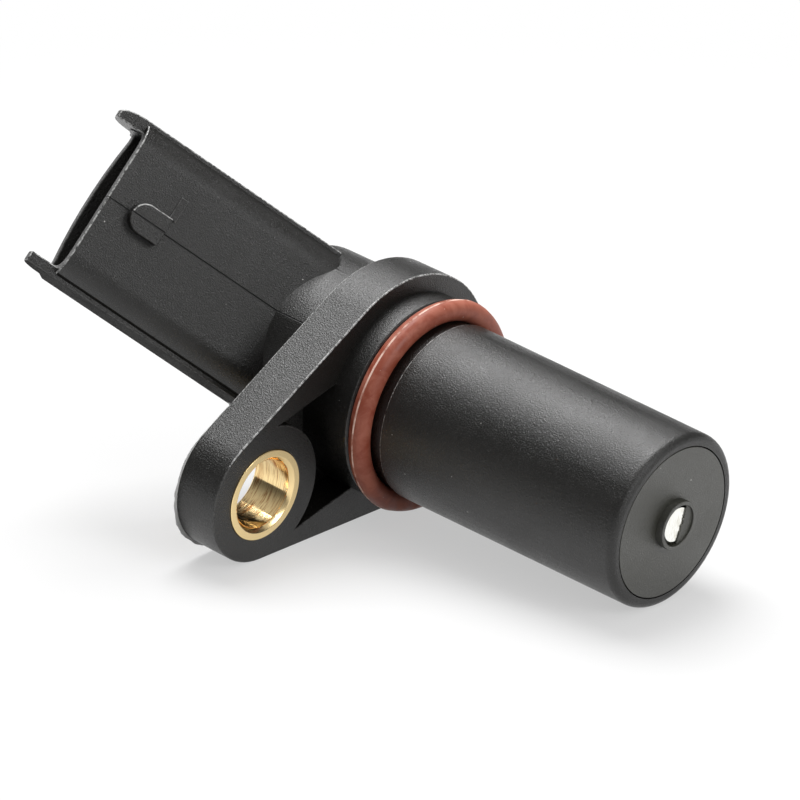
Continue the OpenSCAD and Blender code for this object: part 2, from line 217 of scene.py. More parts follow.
class Effects:
    """The node groups that several finishes share."""

    FINE_SHARE = 0.85
    BROAD_SHARE = 0.15
    BROAD_SCALE = 0.37
    FIBRE_RANGE = (0.57, 0.68)
    GLINT_AND_WEAR_RANGE = (0.38, 0.58)
    CLOUD_RANGE = (0.35, 0.68)
    SPECK_LEAST = 0.5

    @staticmethod
    def start(name: str, inputs: dict[str, float], outputs: list[str]) -> tuple[NodeGraph, bpy.types.Node]:
        """Starts a node group with a position input.

        Args:
            name: the group's name.
            inputs: its number inputs with their usual values.
            outputs: the names of its number outputs.

        Returns:
            The group's graph and its input node.
        """
        tree = bpy.data.node_groups.new(name, "ShaderNodeTree")
        graph = NodeGraph(tree)
        tree.interface.new_socket("Position", in_out="INPUT", socket_type="NodeSocketVector")
        for key, value in inputs.items():
            socket = tree.interface.new_socket(key, in_out="INPUT", socket_type="NodeSocketFloat")
            socket.default_value = value
        for key in outputs:
            tree.interface.new_socket(key, in_out="OUTPUT", socket_type="NodeSocketFloat")
        return graph, graph.add("NodeGroupInput")

    @classmethod
    def grain(cls) -> bpy.types.NodeTree:
        """Makes the moulded grain: fine pits with coarser fibre ends between them.

        Returns:
            The group, with a height and a mask of the bright fibre ends.
        """
        known = bpy.data.node_groups.get("moulded_grain")
        if known:
            return known
        graph, given = cls.start("moulded_grain", {"Size": 0.2 * MM}, ["Height", "Fibres"])
        scale = graph.math("DIVIDE", 1.0, given.outputs["Size"])
        position = given.outputs["Position"]
        fine = graph.add("ShaderNodeTexNoise", {"Vector": position, "Scale": scale, "Detail": 3.0,
                                                "Roughness": 0.65})
        wide = graph.math("MULTIPLY", scale, cls.BROAD_SCALE)
        broad = graph.add("ShaderNodeTexNoise", {"Vector": position, "Scale": wide, "Detail": 1.0})
        height = graph.math("ADD", graph.math("MULTIPLY", fine.outputs["Fac"], cls.FINE_SHARE),
                            graph.math("MULTIPLY", broad.outputs["Fac"], cls.BROAD_SHARE))
        fibres = graph.ramp(fine.outputs["Fac"], *cls.FIBRE_RANGE)
        graph.add("NodeGroupOutput", {"Height": height, "Fibres": fibres})
        return graph.tree

    @classmethod
    def dust(cls) -> bpy.types.NodeTree:
        """Makes sparse specks of dust, one at most in each cell.

        Returns:
            The group, with a mask of the specks.
        """
        known = bpy.data.node_groups.get("dust_specks")
        if known:
            return known
        usual = {"Cell": 2.0 * MM, "Speck": 0.05 * MM, "Share": 0.6}
        graph, given = cls.start("dust_specks", usual, ["Mask"])
        scale = graph.math("DIVIDE", 1.0, given.outputs["Cell"])
        cells = graph.add("ShaderNodeTexVoronoi", {"Vector": given.outputs["Position"], "Scale": scale,
                                                   "Randomness": 1.0})
        draw = graph.add("ShaderNodeSeparateColor", {"Color": cells.outputs["Color"]})
        size = graph.math("MULTIPLY", graph.math("DIVIDE", given.outputs["Speck"], given.outputs["Cell"]),
                          graph.math("ADD", draw.outputs["Green"], cls.SPECK_LEAST))
        inside = graph.math("LESS_THAN", cells.outputs["Distance"], size)
        chosen = graph.math("LESS_THAN", draw.outputs["Red"], given.outputs["Share"])
        graph.add("NodeGroupOutput", {"Mask": graph.math("MULTIPLY", inside, chosen)})
        return graph.tree

    @classmethod
    def glint_and_wear(cls) -> bpy.types.NodeTree:
        """Makes broken pale lines along the rounded edges, which are painted highlights as well as wear.

        Returns:
            The group, with a mask of the stretches of painted highlight and wear.
        """
        known = bpy.data.node_groups.get("glinting_worn_edges")
        if known:
            return known
        graph, given = cls.start("glinting_worn_edges", {"Edge": 0.0, "Amount": 0.6, "Size": 0.3 * MM}, ["Mask"])
        scale = graph.math("DIVIDE", 1.0, given.outputs["Size"])
        patches = graph.add("ShaderNodeTexNoise", {"Vector": given.outputs["Position"], "Scale": scale,
                                                   "Detail": 4.0, "Roughness": 0.7})
        broken = graph.ramp(patches.outputs["Fac"], *cls.GLINT_AND_WEAR_RANGE)
        amount = graph.math("MULTIPLY", broken, given.outputs["Amount"])
        graph.add("NodeGroupOutput", {"Mask": graph.math("MULTIPLY", amount, given.outputs["Edge"])})
        return graph.tree

    @classmethod
    def smudge(cls) -> bpy.types.NodeTree:
        """Makes soft cloudy patches, for handling marks and uneven gloss.

        Returns:
            The group, with a mask of the patches.
        """
        known = bpy.data.node_groups.get("handling_smudge")
        if known:
            return known
        graph, given = cls.start("handling_smudge", {"Size": 9.0 * MM}, ["Mask"])
        scale = graph.math("DIVIDE", 1.0, given.outputs["Size"])
        cloud = graph.add("ShaderNodeTexNoise", {"Vector": given.outputs["Position"], "Scale": scale,
                                                 "Detail": 4.0, "Roughness": 0.6, "Distortion": 0.6})
        graph.add("NodeGroupOutput", {"Mask": graph.ramp(cloud.outputs["Fac"], *cls.CLOUD_RANGE)})
        return graph.tree


@dataclass(frozen=True)
class Finish:
    """What every finish has: a name and a Principled shader fed by Object coordinates."""

    name: str

    def start(self) -> tuple[bpy.types.Material, NodeGraph, bpy.types.NodeSocket, bpy.types.Node]:
        """Starts the material.

        Returns:
            The material, its graph, the position socket and the shader node.
        """
        material = bpy.data.materials.new(self.name)
        material.use_nodes = True
        graph = NodeGraph(material.node_tree)
        position = graph.add("ShaderNodeTexCoord").outputs["Object"]
        shader = graph.add("ShaderNodeBsdfPrincipled")
        graph.add("ShaderNodeOutputMaterial", {"Surface": shader.outputs["BSDF"]})
        return material, graph, position, shader

    def edge(self, graph: NodeGraph) -> bpy.types.NodeSocket:
        """Returns the mask of the edges with painted highlight and wear, which the piece's mesh carries.
        """
        return graph.add("ShaderNodeAttribute", attribute_name=EDGE_GLINT_AND_WEAR).outputs["Fac"]


@dataclass(frozen=True)
class PartingLine:
    """The line where the mould's halves met, behind the flange."""

    normal: Vector
    neck_point: Vector
    neck_way: Vector
    face_way: Vector
    front: float = -4.9 * MM
    wall: float = 1.0 * MM
    width: float = 0.085 * MM
    core: float = 0.034 * MM
    depth: float = 0.06 * MM
    draft: float = 0.08
    draft_reach: float = 8.0 * MM
    colour: Colour = (0.001, 0.001, 0.001)

    def away(self, graph: NodeGraph, position: bpy.types.NodeSocket) -> bpy.types.NodeSocket:
        """Returns the distance from the parting plane."""
        return graph.math("ABSOLUTE", graph.along(position, self.normal))

    def behind(self, graph: NodeGraph, position: bpy.types.NodeSocket) -> bpy.types.NodeSocket:
        """Returns a mask of what lies behind the flange."""
        return graph.math("LESS_THAN", graph.along(position, Vector((1, 0, 0))), self.front)

    def line(self, graph: NodeGraph, position: bpy.types.NodeSocket) -> bpy.types.NodeSocket:
        """Masks the thin line.

        Args:
            graph: the material's graph.
            position: the Object coordinates.

        Returns:
            The mask's socket.
        """
        line = graph.ramp(self.away(graph, position), self.core, self.width, 1.0, 0.0)
        deepest = self.neck_point.dot(self.face_way) - self.wall
        outside = graph.math("GREATER_THAN", graph.along(position, self.face_way), deepest)
        return graph.math("MULTIPLY", graph.math("MULTIPLY", line, outside), self.behind(graph, position))

    def relief(self, graph: NodeGraph, position: bpy.types.NodeSocket,
               line: bpy.types.NodeSocket) -> bpy.types.NodeSocket:
        """Works out the groove of the line and the neck's draft, which falls away from it on both sides.

        Args:
            graph: the material's graph.
            position: the Object coordinates.
            line: the line's mask.

        Returns:
            The height's socket, in metres.
        """
        groove = graph.math("MULTIPLY", line, -self.depth)
        past = graph.along(position, self.neck_way)
        on_neck = graph.math("LESS_THAN", past, self.neck_point.dot(self.neck_way))
        on_neck = graph.math("MULTIPLY", on_neck, self.behind(graph, position))
        left = graph.math("SUBTRACT", self.draft_reach, self.away(graph, position))
        rise = graph.math("POWER", graph.math("MAXIMUM", left, 0.0), 2.0)
        steepness = self.draft / (2 * self.draft_reach)
        slope = graph.math("MULTIPLY", graph.math("MULTIPLY", rise, on_neck), steepness)
        return graph.math("ADD", groove, slope)


@dataclass(frozen=True)
class PlasticFinish(Finish):
    """Black glass-filled plastic, satin, with moulded grain, dust, pale edges of painted highlight and
    wear, and an optional parting line.
    """

    dark: Colour = (0.0036, 0.0031, 0.0022)
    pale: Colour = (0.018, 0.018, 0.016)
    # The pale edge colour is painted highlight along the rounded edges, as well as wear.
    worn_and_glint: Colour = (0.62, 0.62, 0.61)
    dust_colour: Colour = (0.60, 0.59, 0.56)
    rough_low: float = 0.28
    rough_high: float = 0.37
    fibre_gloss: float = 0.13
    specular: float = 0.62
    grain_size: float = 0.155 * MM
    grain_depth: float = 0.078 * MM
    dust_share: float = 0.6
    glint_and_wear: float = 0.8
    parting: PartingLine | None = None

    def material(self) -> bpy.types.Material:
        """Builds the material.

        Returns:
            The material.
        """
        material, graph, position, shader = self.start()
        grain = graph.group(Effects.grain(), {"Position": position, "Size": self.grain_size})
        smudge = graph.group(Effects.smudge(), {"Position": position})
        dust = graph.group(Effects.dust(), {"Position": position, "Share": self.dust_share})
        edge = self.edge(graph)
        glint_and_wear = graph.group(Effects.glint_and_wear(), {"Position": position, "Amount": self.glint_and_wear, "Edge": edge})
        colour = graph.mix(grain.outputs["Fibres"], self.dark, self.pale)
        colour = graph.mix(glint_and_wear.outputs["Mask"], colour, self.worn_and_glint)
        colour = graph.mix(dust.outputs["Mask"], colour, self.dust_colour)
        height = grain.outputs["Height"]
        rough = graph.ramp(smudge.outputs["Mask"], 0.0, 1.0, self.rough_low, self.rough_high)
        shine = graph.math("MULTIPLY", grain.outputs["Fibres"], self.fibre_gloss)
        rough = graph.math("SUBTRACT", rough, shine)
        if self.parting:
            line = self.parting.line(graph, position)
            colour = graph.mix(line, colour, self.parting.colour)
            rough = graph.math("MAXIMUM", rough, line)
            relief = self.parting.relief(graph, position, line)
            height = graph.math("ADD", height, graph.math("DIVIDE", relief, self.grain_depth))
        bump = graph.add("ShaderNodeBump", {"Height": height, "Distance": self.grain_depth})
        graph.feed(shader.inputs["Base Color"], colour)
        graph.feed(shader.inputs["Roughness"], rough)
        graph.feed(shader.inputs["Normal"], bump.outputs["Normal"])
        shader.inputs["Specular IOR Level"].default_value = self.specular
        return material


@dataclass(frozen=True)
class RubberFinish(Finish):
    """Brick-red rubber with pale bloom, and a painted highlight along the flash line."""

    red: Colour = (0.27, 0.058, 0.030)
    bloom: Colour = (0.39, 0.125, 0.080)
    # The flash colour is a painted highlight on the crest of the flash line.
    lit_flash: Colour = (0.85, 0.60, 0.50)
    dust_colour: Colour = (0.66, 0.52, 0.46)
    rough_low: float = 0.40
    rough_high: float = 0.60
    specular: float = 0.4
    bloom_size: float = 1.6 * MM
    flash_size: float = 3.5 * MM
    dust_cell: float = 1.3 * MM
    grain_size: float = 0.12 * MM
    grain_depth: float = 0.012 * MM

    def material(self) -> bpy.types.Material:
        """Builds the material.

        Returns:
            The material.
        """
        material, graph, position, shader = self.start()
        smudge = graph.group(Effects.smudge(), {"Position": position, "Size": self.bloom_size})
        grain = graph.group(Effects.grain(), {"Position": position, "Size": self.grain_size})
        dust = graph.group(Effects.dust(), {"Position": position, "Cell": self.dust_cell})
        colour = graph.mix(smudge.outputs["Mask"], self.red, self.bloom)
        # Painted highlight: the pale colour laid in broken stretches along the flash line.
        glint_and_wear = graph.group(Effects.glint_and_wear(), {"Position": position, "Edge": self.edge(graph), "Amount": 1.0,
                                            "Size": self.flash_size})
        colour = graph.mix(glint_and_wear.outputs["Mask"], colour, self.lit_flash)
        colour = graph.mix(dust.outputs["Mask"], colour, self.dust_colour)
        rough = graph.ramp(smudge.outputs["Mask"], 0.0, 1.0, self.rough_low, self.rough_high)
        height = grain.outputs["Height"]
        bump = graph.add("ShaderNodeBump", {"Height": height, "Distance": self.grain_depth})
        graph.feed(shader.inputs["Base Color"], colour)
        graph.feed(shader.inputs["Roughness"], rough)
        graph.feed(shader.inputs["Normal"], bump.outputs["Normal"])
        shader.inputs["Specular IOR Level"].default_value = self.specular
        return material


@dataclass(frozen=True)
class MetalFinish(Finish):
    """Bare metal with fine tool marks along one axis and patches of tarnish."""

    bright: Colour = (1.0, 0.77, 0.40)
    tarnish: Colour = (0.40, 0.15, 0.03)
    stain_least: float = 0.5
    bore: Vector | None = None
    bore_radius: float = 3.6 * MM
    face_rough: float = 0.26
    rough_low: float = 0.08
    rough_high: float = 0.20
    tarnish_size: float = 2.0 * MM
    mark_stretch: tuple[float, float, float] = (1.0, 0.06, 0.06)
    mark_size: float = 0.16 * MM
    mark_depth: float = 0.010 * MM
    mark_range: tuple[float, float] = (0.46, 0.60)

    def material(self) -> bpy.types.Material:
        """Builds the material.

        Returns:
            The material.
        """
        material, graph, position, shader = self.start()
        mapping = graph.add("ShaderNodeMapping", {"Vector": position, "Scale": self.mark_stretch})
        stretched = mapping.outputs["Vector"]
        marks = graph.group(Effects.grain(), {"Position": stretched, "Size": self.mark_size})
        height = marks.outputs["Height"]
        smudge = graph.group(Effects.smudge(), {"Position": position, "Size": self.tarnish_size})
        patch = graph.ramp(smudge.outputs["Mask"], 0.0, 1.0, self.stain_least, 1.0)
        stain = graph.math("MULTIPLY", patch, graph.ramp(height, *self.mark_range))
        rough = graph.ramp(smudge.outputs["Mask"], 0.0, 1.0, self.rough_low, self.rough_high)
        if self.bore:
            inside = self.in_bore(graph, position)
            stain = graph.math("MULTIPLY", stain, inside)
            rough = graph.math("MAXIMUM", rough, graph.ramp(inside, 0.0, 1.0, self.face_rough, 0.0))
        colour = graph.mix(stain, self.bright, self.tarnish)
        bump = graph.add("ShaderNodeBump", {"Height": height, "Distance": self.mark_depth})
        graph.feed(shader.inputs["Base Color"], colour)
        graph.feed(shader.inputs["Roughness"], rough)
        graph.feed(shader.inputs["Normal"], bump.outputs["Normal"])
        shader.inputs["Metallic"].default_value = 1.0
        return material

    def in_bore(self, graph: NodeGraph, position: bpy.types.NodeSocket) -> bpy.types.NodeSocket:
        """Masks a bore along X, where the tarnish stays.

        Args:
            graph: the material's graph.
            position: the Object coordinates.

        Returns:
            The mask's socket.
        """
        across = graph.math("SUBTRACT", graph.along(position, Vector((0, 1, 0))), self.bore.y)
        upwards = graph.math("SUBTRACT", graph.along(position, Vector((0, 0, 1))), self.bore.z)
        squares = graph.math("ADD", graph.math("POWER", across, 2.0), graph.math("POWER", upwards, 2.0))
        return graph.math("LESS_THAN", squares, self.bore_radius ** 2)


def merged_copy(node: str) -> bmesh.types.BMesh:
    """Copies a node's mesh with its loose triangles merged and its flats made whole.

    Args:
        node: the node's name.

    Returns:
        The new bmesh.
    """
    bm = bmesh.new()
    bm.from_mesh(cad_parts[node].data)
    bmesh.ops.remove_doubles(bm, verts=bm.verts[:], dist=MERGE_DISTANCE)
    bmesh.ops.dissolve_limit(bm, angle_limit=FLAT_TURN, verts=bm.verts[:], edges=bm.edges[:])
    return bm


def sharp_edges(bm: bmesh.types.BMesh, least: float, wanted: EdgeTest) -> list[bmesh.types.BMEdge]:
    """Lists the convex edges that turn by more than an angle and pass a test.

    Args:
        bm: the mesh.
        least: the smallest turn, in degrees.
        wanted: the test.

    Returns:
        The edges.
    """
    turn = math.radians(least)
    return [edge for edge in bm.edges
            if len(edge.link_faces) == 2 and edge.is_convex
            and edge.calc_face_angle() > turn and wanted(edge)]


def soften(bm: bmesh.types.BMesh, radius: float, least: float, wanted: EdgeTest, segments: int = 3,
           glint_and_wear: float = 1.0) -> None:
    """Rounds the sharp outer edges of a mesh and notes how much painted highlight and wear they carry.

    Args:
        bm: the mesh.
        radius: how far the rounding reaches from the edge.
        least: the smallest turn of an edge that is rounded, in degrees.
        wanted: the test that an edge has to pass.
        segments: the rounding's number of steps.
        glint_and_wear: how much painted highlight and wear the rounding carries, from 0 to 1.
    """
    layers = bm.faces.layers.float
    worn_and_glint = layers.get(EDGE_GLINT_AND_WEAR) or layers.new(EDGE_GLINT_AND_WEAR)
    edges = sharp_edges(bm, least, wanted)
    made = bmesh.ops.bevel(bm, geom=edges, offset=radius, offset_type="OFFSET", affect="EDGES",
                           segments=segments, profile=0.5, material=-1, clamp_overlap=False,
                           loop_slide=True)
    for face in made["faces"]:
        if face.is_valid:
            face[worn_and_glint] = glint_and_wear


def absorb(bm: bmesh.types.BMesh, other: bmesh.types.BMesh) -> None:
    """Adds another mesh to a mesh and frees the other.

    Args:
        bm: the mesh that grows.
        other: the mesh that it takes in.
    """
    carrier = bpy.data.meshes.new("carrier")
    other.to_mesh(carrier)
    other.free()
    bm.from_mesh(carrier)
    bpy.data.meshes.remove(carrier)


def middle(edge: bmesh.types.BMEdge) -> Vector:
    """Returns the middle of an edge."""
    return (edge.verts[0].co + edge.verts[1].co) / 2


def always(edge: bmesh.types.BMEdge) -> bool:
    """Takes every edge."""
    return True


def finish_piece(name: str, bm: bmesh.types.BMesh, material: bpy.types.Material,
                 nodes: tuple[str, ...], shade: Shade = Shade.WEIGHTED) -> bpy.types.Object:
    """Turns a bmesh into a dressed piece that stands for its nodes.

    Args:
        name: the piece's name.
        bm: its mesh, which is freed.
        material: its material.
        nodes: the nodes that it replaces.
        shade: how it is shaded.

    Returns:
        The new object.
    """
    mesh = bpy.data.meshes.new(name)
    bm.normal_update()
    for face in bm.faces:
        face.smooth = True
    for edge in bm.edges:
        edge.smooth = len(edge.link_faces) == 2 and edge.calc_face_angle() < SMOOTH_TURN
    bm.to_mesh(mesh)
    bm.free()
    mesh.materials.append(material)
    piece = bpy.data.objects.new(name, mesh)
    bpy.context.scene.collection.objects.link(piece)
    if shade is Shade.WEIGHTED:
        normals = piece.modifiers.new("weighted_normals", "WEIGHTED_NORMAL")
        normals.keep_sharp = True
        normals.weight = FLAT_WEIGHT
    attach(piece, BODY)
    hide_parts(*nodes)
    LOG.info("%s: %d faces", name, len(mesh.polygons))
    return piece


def dress_node(node: str, material: bpy.types.Material) -> None:
    """Gives a node that keeps its shape a better material.

    Args:
        node: the node's name.
        material: the material.
    """
    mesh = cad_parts[node].data
    mesh.materials.clear()
    mesh.materials.append(material)
    LOG.info("%s: dressed as it is", node)


@dataclass(frozen=True)
class Softbox:
    """A soft square lamp that faces the part, with the radiance of its face, where 1 is white."""

    name: str
    towards: Vector
    distance: float
    side: float
    radiance: float

    def hang(self) -> None:
        """Adds the lamp to the scene."""
        data = bpy.data.lights.new(self.name, "AREA")
        data.shape = "SQUARE"
        data.size = self.side
        data.energy = self.radiance * math.pi * self.side ** 2
        lamp = bpy.data.objects.new(self.name, data)
        lamp.location = self.towards.normalized() * self.distance
        lamp.rotation_euler = self.towards.to_track_quat("Z", "Y").to_euler()
        bpy.context.scene.collection.objects.link(lamp)


SOFTBOXES = (
    Softbox("key_softbox", Vector((-0.42, 0.20, 0.88)), distance=0.62, side=0.44, radiance=8.5),
    Softbox("right_softbox", Vector((0.83, -0.02, 0.56)), distance=0.65, side=0.28, radiance=5.6),
)


@dataclass
class Studio:
    """Floor, lights and camera, as the photograph has them."""

    floor_point: Vector = field(default_factory=lambda: Vector((0, 0, -12.2)) * MM)
    floor_normal: Vector = field(default_factory=lambda: Vector((-0.1030, 0, 0.9947)))
    floor_half: float = 1.5
    floor_colour: Colour = (0.34, 0.34, 0.34)
    floor_glow: float = 0.50
    fade_start: float = 0.05
    fade_end: float = 0.16
    camera_place: Vector = field(default_factory=lambda: Vector((258.995, -305.63, 191.91)) * MM)
    camera_right: Vector = field(default_factory=lambda: Vector((0.7319, 0.6758, 0.0875)))
    camera_up: Vector = field(default_factory=lambda: Vector((-0.3531, 0.2663, 0.8969)))
    lens: float = 207.016
    sensor: float = 36.0
    clip: tuple[float, float] = (0.01, 20.0)
    horizon_grey: float = 0.10
    zenith_grey: float = 0.62

    def build(self) -> None:
        """Builds the whole studio."""
        self.add_camera()
        self.add_floor()
        self.add_world()
        for softbox in SOFTBOXES:
            softbox.hang()
        bpy.context.scene.view_settings.view_transform = "Standard"

    def add_camera(self) -> None:
        """Adds the camera at the photograph's place."""
        data = bpy.data.cameras.new("camera")
        data.lens = self.lens
        data.sensor_width = self.sensor
        data.clip_start, data.clip_end = self.clip
        camera = bpy.data.objects.new("camera", data)
        right = self.camera_right.normalized()
        back = right.cross(self.camera_up).normalized()
        up = back.cross(right)
        turn = Matrix((right, up, back)).transposed().to_4x4()
        camera.matrix_world = Matrix.Translation(self.camera_place) @ turn
        bpy.context.scene.collection.objects.link(camera)
        bpy.context.scene.camera = camera

    def add_floor(self) -> None:
        """Adds the pale floor that the part lies on."""
        bm = bmesh.new()
        bmesh.ops.create_grid(bm, x_segments=1, y_segments=1, size=self.floor_half)
        turn = Vector((0, 0, 1)).rotation_difference(self.floor_normal).to_matrix().to_4x4()
        bmesh.ops.transform(bm, matrix=Matrix.Translation(self.floor_point) @ turn, verts=bm.verts[:])
        mesh = bpy.data.meshes.new("floor")
        bm.to_mesh(mesh)
        bm.free()
        mesh.materials.append(self.floor_material())
        floor = bpy.data.objects.new("floor", mesh)
        bpy.context.scene.collection.objects.link(floor)

    def floor_material(self) -> bpy.types.Material:
        """Makes the floor white to the camera and in gloss, with the part's shadow on it near the part.

        Returns:
            The material.
        """
        material = bpy.data.materials.new("pale_floor")
        material.use_nodes = True
        graph = NodeGraph(material.node_tree)
        position = graph.add("ShaderNodeTexCoord").outputs["Object"]
        away = graph.add("ShaderNodeVectorMath", {0: position}, operation="LENGTH").outputs["Value"]
        far = graph.ramp(away, self.fade_start, self.fade_end)
        diffuse = graph.add("ShaderNodeBsdfDiffuse", {"Color": rgba(self.floor_colour)})
        glow = graph.add("ShaderNodeEmission", {"Strength": self.floor_glow})
        near = graph.add("ShaderNodeAddShader", {0: diffuse.outputs[0], 1: glow.outputs[0]})
        white = graph.add("ShaderNodeEmission", {"Strength": 1.0})
        seen = graph.add("ShaderNodeMixShader", {"Fac": far, 1: near.outputs[0], 2: white.outputs[0]})
        both = graph.add("ShaderNodeMixShader", {"Fac": self.seen_ray(graph), 1: diffuse.outputs[0],
                                                 2: seen.outputs[0]})
        graph.add("ShaderNodeOutputMaterial", {"Surface": both.outputs[0]})
        return material

    def seen_ray(self, graph: NodeGraph) -> bpy.types.NodeSocket:
        """Masks the rays that show the background: to the camera, in gloss and through glass.

        Args:
            graph: the material's graph.

        Returns:
            The mask's socket.
        """
        path = graph.add("ShaderNodeLightPath")
        shown = graph.math("MAXIMUM", path.outputs["Is Camera Ray"], path.outputs["Is Glossy Ray"])
        return graph.math("MAXIMUM", shown, path.outputs["Is Transmission Ray"])

    def add_world(self) -> None:
        """Adds a soft grey room that is brighter overhead."""
        world = bpy.data.worlds.new("studio_world")
        world.use_nodes = True
        graph = NodeGraph(world.node_tree)
        towards = graph.add("ShaderNodeTexCoord").outputs["Generated"]
        rise = graph.along(towards, Vector((0, 0, 1)))
        grey = graph.ramp(rise, 0.0, 1.0, self.horizon_grey, self.zenith_grey)
        room = graph.add("ShaderNodeBackground", {"Color": rgba((1.0, 1.0, 1.0)), "Strength": grey})
        graph.add("ShaderNodeOutputWorld", {"Surface": room.outputs[0]})
        bpy.context.scene.world = world


@dataclass
class Housing:
    """The one-piece moulding with its softened edges, its matt rib and the flash on the ear; the edges
    carry painted highlights and the flash is painted pale with light shining through it.
    """

    # How far the roundings reach, and where the edges of each kind lie.
    edge_radius: float = 0.12 * MM
    edge_turn: float = 40.0
    bar_edge: float = 0.04 * MM
    bar_glint_and_wear: float = 0.3
    break_edge: float = 0.06 * MM
    break_ends: tuple[float, float] = (2.0 * MM, 5.8 * MM)
    tip_edge: float = 0.03 * MM
    tip_start: float = 33.5 * MM
    room_radius: float = 8.0 * MM
    room_back: float = -15.0 * MM
    # The plug: a point at its front face's root, the way out of that face and the way to the mouth.
    face_root: Vector = field(default_factory=lambda: Vector((-10.2, -7.67, 7.02)) * MM)
    face_out: Vector = field(default_factory=lambda: Vector((0.7912, -0.4510, 0.4129)))
    mouth_way: Vector = field(default_factory=lambda: Vector((-0.6115, -0.5835, 0.5343)))
    bar_low: float = 0.05 * MM
    bar_top: float = 0.2 * MM
    plug_root: float = -2.5 * MM
    parting_turn: float = math.radians(47.52)
    # The limits of the edges that keep their full painted highlight and wear.
    rear_face: float = -4.9 * MM
    rim_start: float = 19.3 * MM
    near_side: float = 3.0 * MM
    top_side: Vector = field(default_factory=lambda: Vector((0, -0.530, 0.848)))
    outline: float = 11.9 * MM
    barrel_start: float = 4.0 * MM
    least_glint_and_wear: float = 0.1
    # The lower rib's matt side.
    matt_start: float = 8.5 * MM
    matt_facing: float = 0.9
    matt_slot: int = 2
    # The fin of flash on the ear.
    ear_radius: float = 6.9 * MM
    flash_root: float = 0.1 * MM
    flash_thickness: float = 0.05 * MM
    flash_start: float = math.radians(122)
    flash_end: float = math.radians(262)
    flash_steps: int = 70
    flash_straight: float = 3.2 * MM
    flash_least: float = 0.12 * MM
    flash_most: float = 0.45 * MM
    tear_mean: float = 0.75
    tear_least: float = 0.2
    tear_waves: tuple[tuple[float, float], ...] = ((0.4, 1.1 * MM), (0.15, 0.35 * MM))
    flash_slot: int = 1

    def in_room(self, edge: bmesh.types.BMEdge) -> bool:
        """Says whether an edge is inside the closed coil room."""
        place = middle(edge)
        return math.hypot(place.y, place.z) < self.room_radius and place.x > self.room_back

    def on_bar(self, edge: bmesh.types.BMEdge) -> bool:
        """Says whether an edge is on the low bar beside the latch nub."""
        place = middle(edge) - self.face_root
        return self.bar_low < place.dot(self.face_out) < self.bar_top and place.dot(self.mouth_way) > 0

    def on_break(self, edge: bmesh.types.BMEdge) -> bool:
        """Says whether an edge is on a chamfer of the collar or the seal groove."""
        return not self.in_room(edge) and self.break_ends[0] < middle(edge).x < self.break_ends[1]

    def on_root(self, edge: bmesh.types.BMEdge) -> bool:
        """Says whether an edge is where the plug's sides end on the neck.

        Args:
            edge: the edge.

        Returns:
            True if it is.
        """
        place = middle(edge)
        from_root = (place - self.face_root).dot(self.mouth_way)
        return place.x < self.rear_face - self.edge_radius and from_root < self.plug_root

    def on_outside(self, edge: bmesh.types.BMEdge) -> bool:
        """Says whether an edge is an outer one of the usual size."""
        return not (self.in_room(edge) or self.on_bar(edge) or self.on_break(edge) or self.on_root(edge))

    def on_tip(self, edge: bmesh.types.BMEdge) -> bool:
        """Says whether an edge is round the opening at the tip."""
        return self.in_room(edge) and middle(edge).x > self.tip_start

    def build(self) -> bpy.types.Object:
        """Builds the dressed moulding.

        Returns:
            The piece.
        """
        bm = merged_copy("housing")
        soften(bm, self.edge_radius, self.edge_turn, self.on_outside)
        soften(bm, self.edge_radius, self.edge_turn, self.on_root, glint_and_wear=0.0)
        soften(bm, self.bar_edge, self.edge_turn, self.on_bar, glint_and_wear=self.bar_glint_and_wear)
        soften(bm, self.break_edge, self.edge_turn, self.on_break)
        soften(bm, self.tip_edge, self.edge_turn, self.on_tip, glint_and_wear=0.0)
        normal = Vector((0.0, math.cos(self.parting_turn), math.sin(self.parting_turn)))
        self.share_glint_and_wear(bm, normal)
        self.mark_matt(bm, normal)
        absorb(bm, self.lit_flash())
        parting = PartingLine(normal, self.face_root, self.mouth_way, self.face_out)
        material = PlasticFinish("housing_plastic", parting=parting).material()
        piece = finish_piece("housing_moulding", bm, material, ("housing",))
        # The fin is painted pale grey: painted light shining through the thin flash of the housing's black
        # plastic.
        backlit_thin = PlasticFinish("flash_backlit_plastic", dark=(0.72, 0.72, 0.71), pale=(0.85, 0.85, 0.84)).material()
        piece.data.materials.append(backlit_thin)
        matt = PlasticFinish("matt_plastic", rough_low=0.70, rough_high=0.80, specular=0.12).material()
        piece.data.materials.append(matt)
        return piece

    def share_glint_and_wear(self, bm: bmesh.types.BMesh, upwards: Vector) -> None:
        """Leaves the full painted highlight and wear on the edges that stand out, on the upper and near
        sides, and takes most of it off the others.

        Args:
            bm: the moulding's mesh, with its edges rounded.
            upwards: the direction from the parting plane to the plug's upper side.
        """
        worn_and_glint = bm.faces.layers.float[EDGE_GLINT_AND_WEAR]
        for face in bm.faces:
            place = face.calc_center_median()
            behind = place.x < self.rear_face
            keeps_glint = self.glints_behind(place, upwards) if behind else self.glints_front(place)
            if not keeps_glint:
                face[worn_and_glint] *= self.least_glint_and_wear

    def mark_matt(self, bm: bmesh.types.BMesh, upwards: Vector) -> None:
        """Gives the lower rib's outer side its coarse matt finish.

        Args:
            bm: the moulding's mesh.
            upwards: the direction from the parting plane to the plug's upper side.
        """
        bm.normal_update()
        for face in bm.faces:
            place = face.calc_center_median()
            at_side = place.x < self.rear_face and place.dot(upwards) < -self.matt_start
            if at_side and face.normal.dot(upwards) < -self.matt_facing:
                face.material_index = self.matt_slot

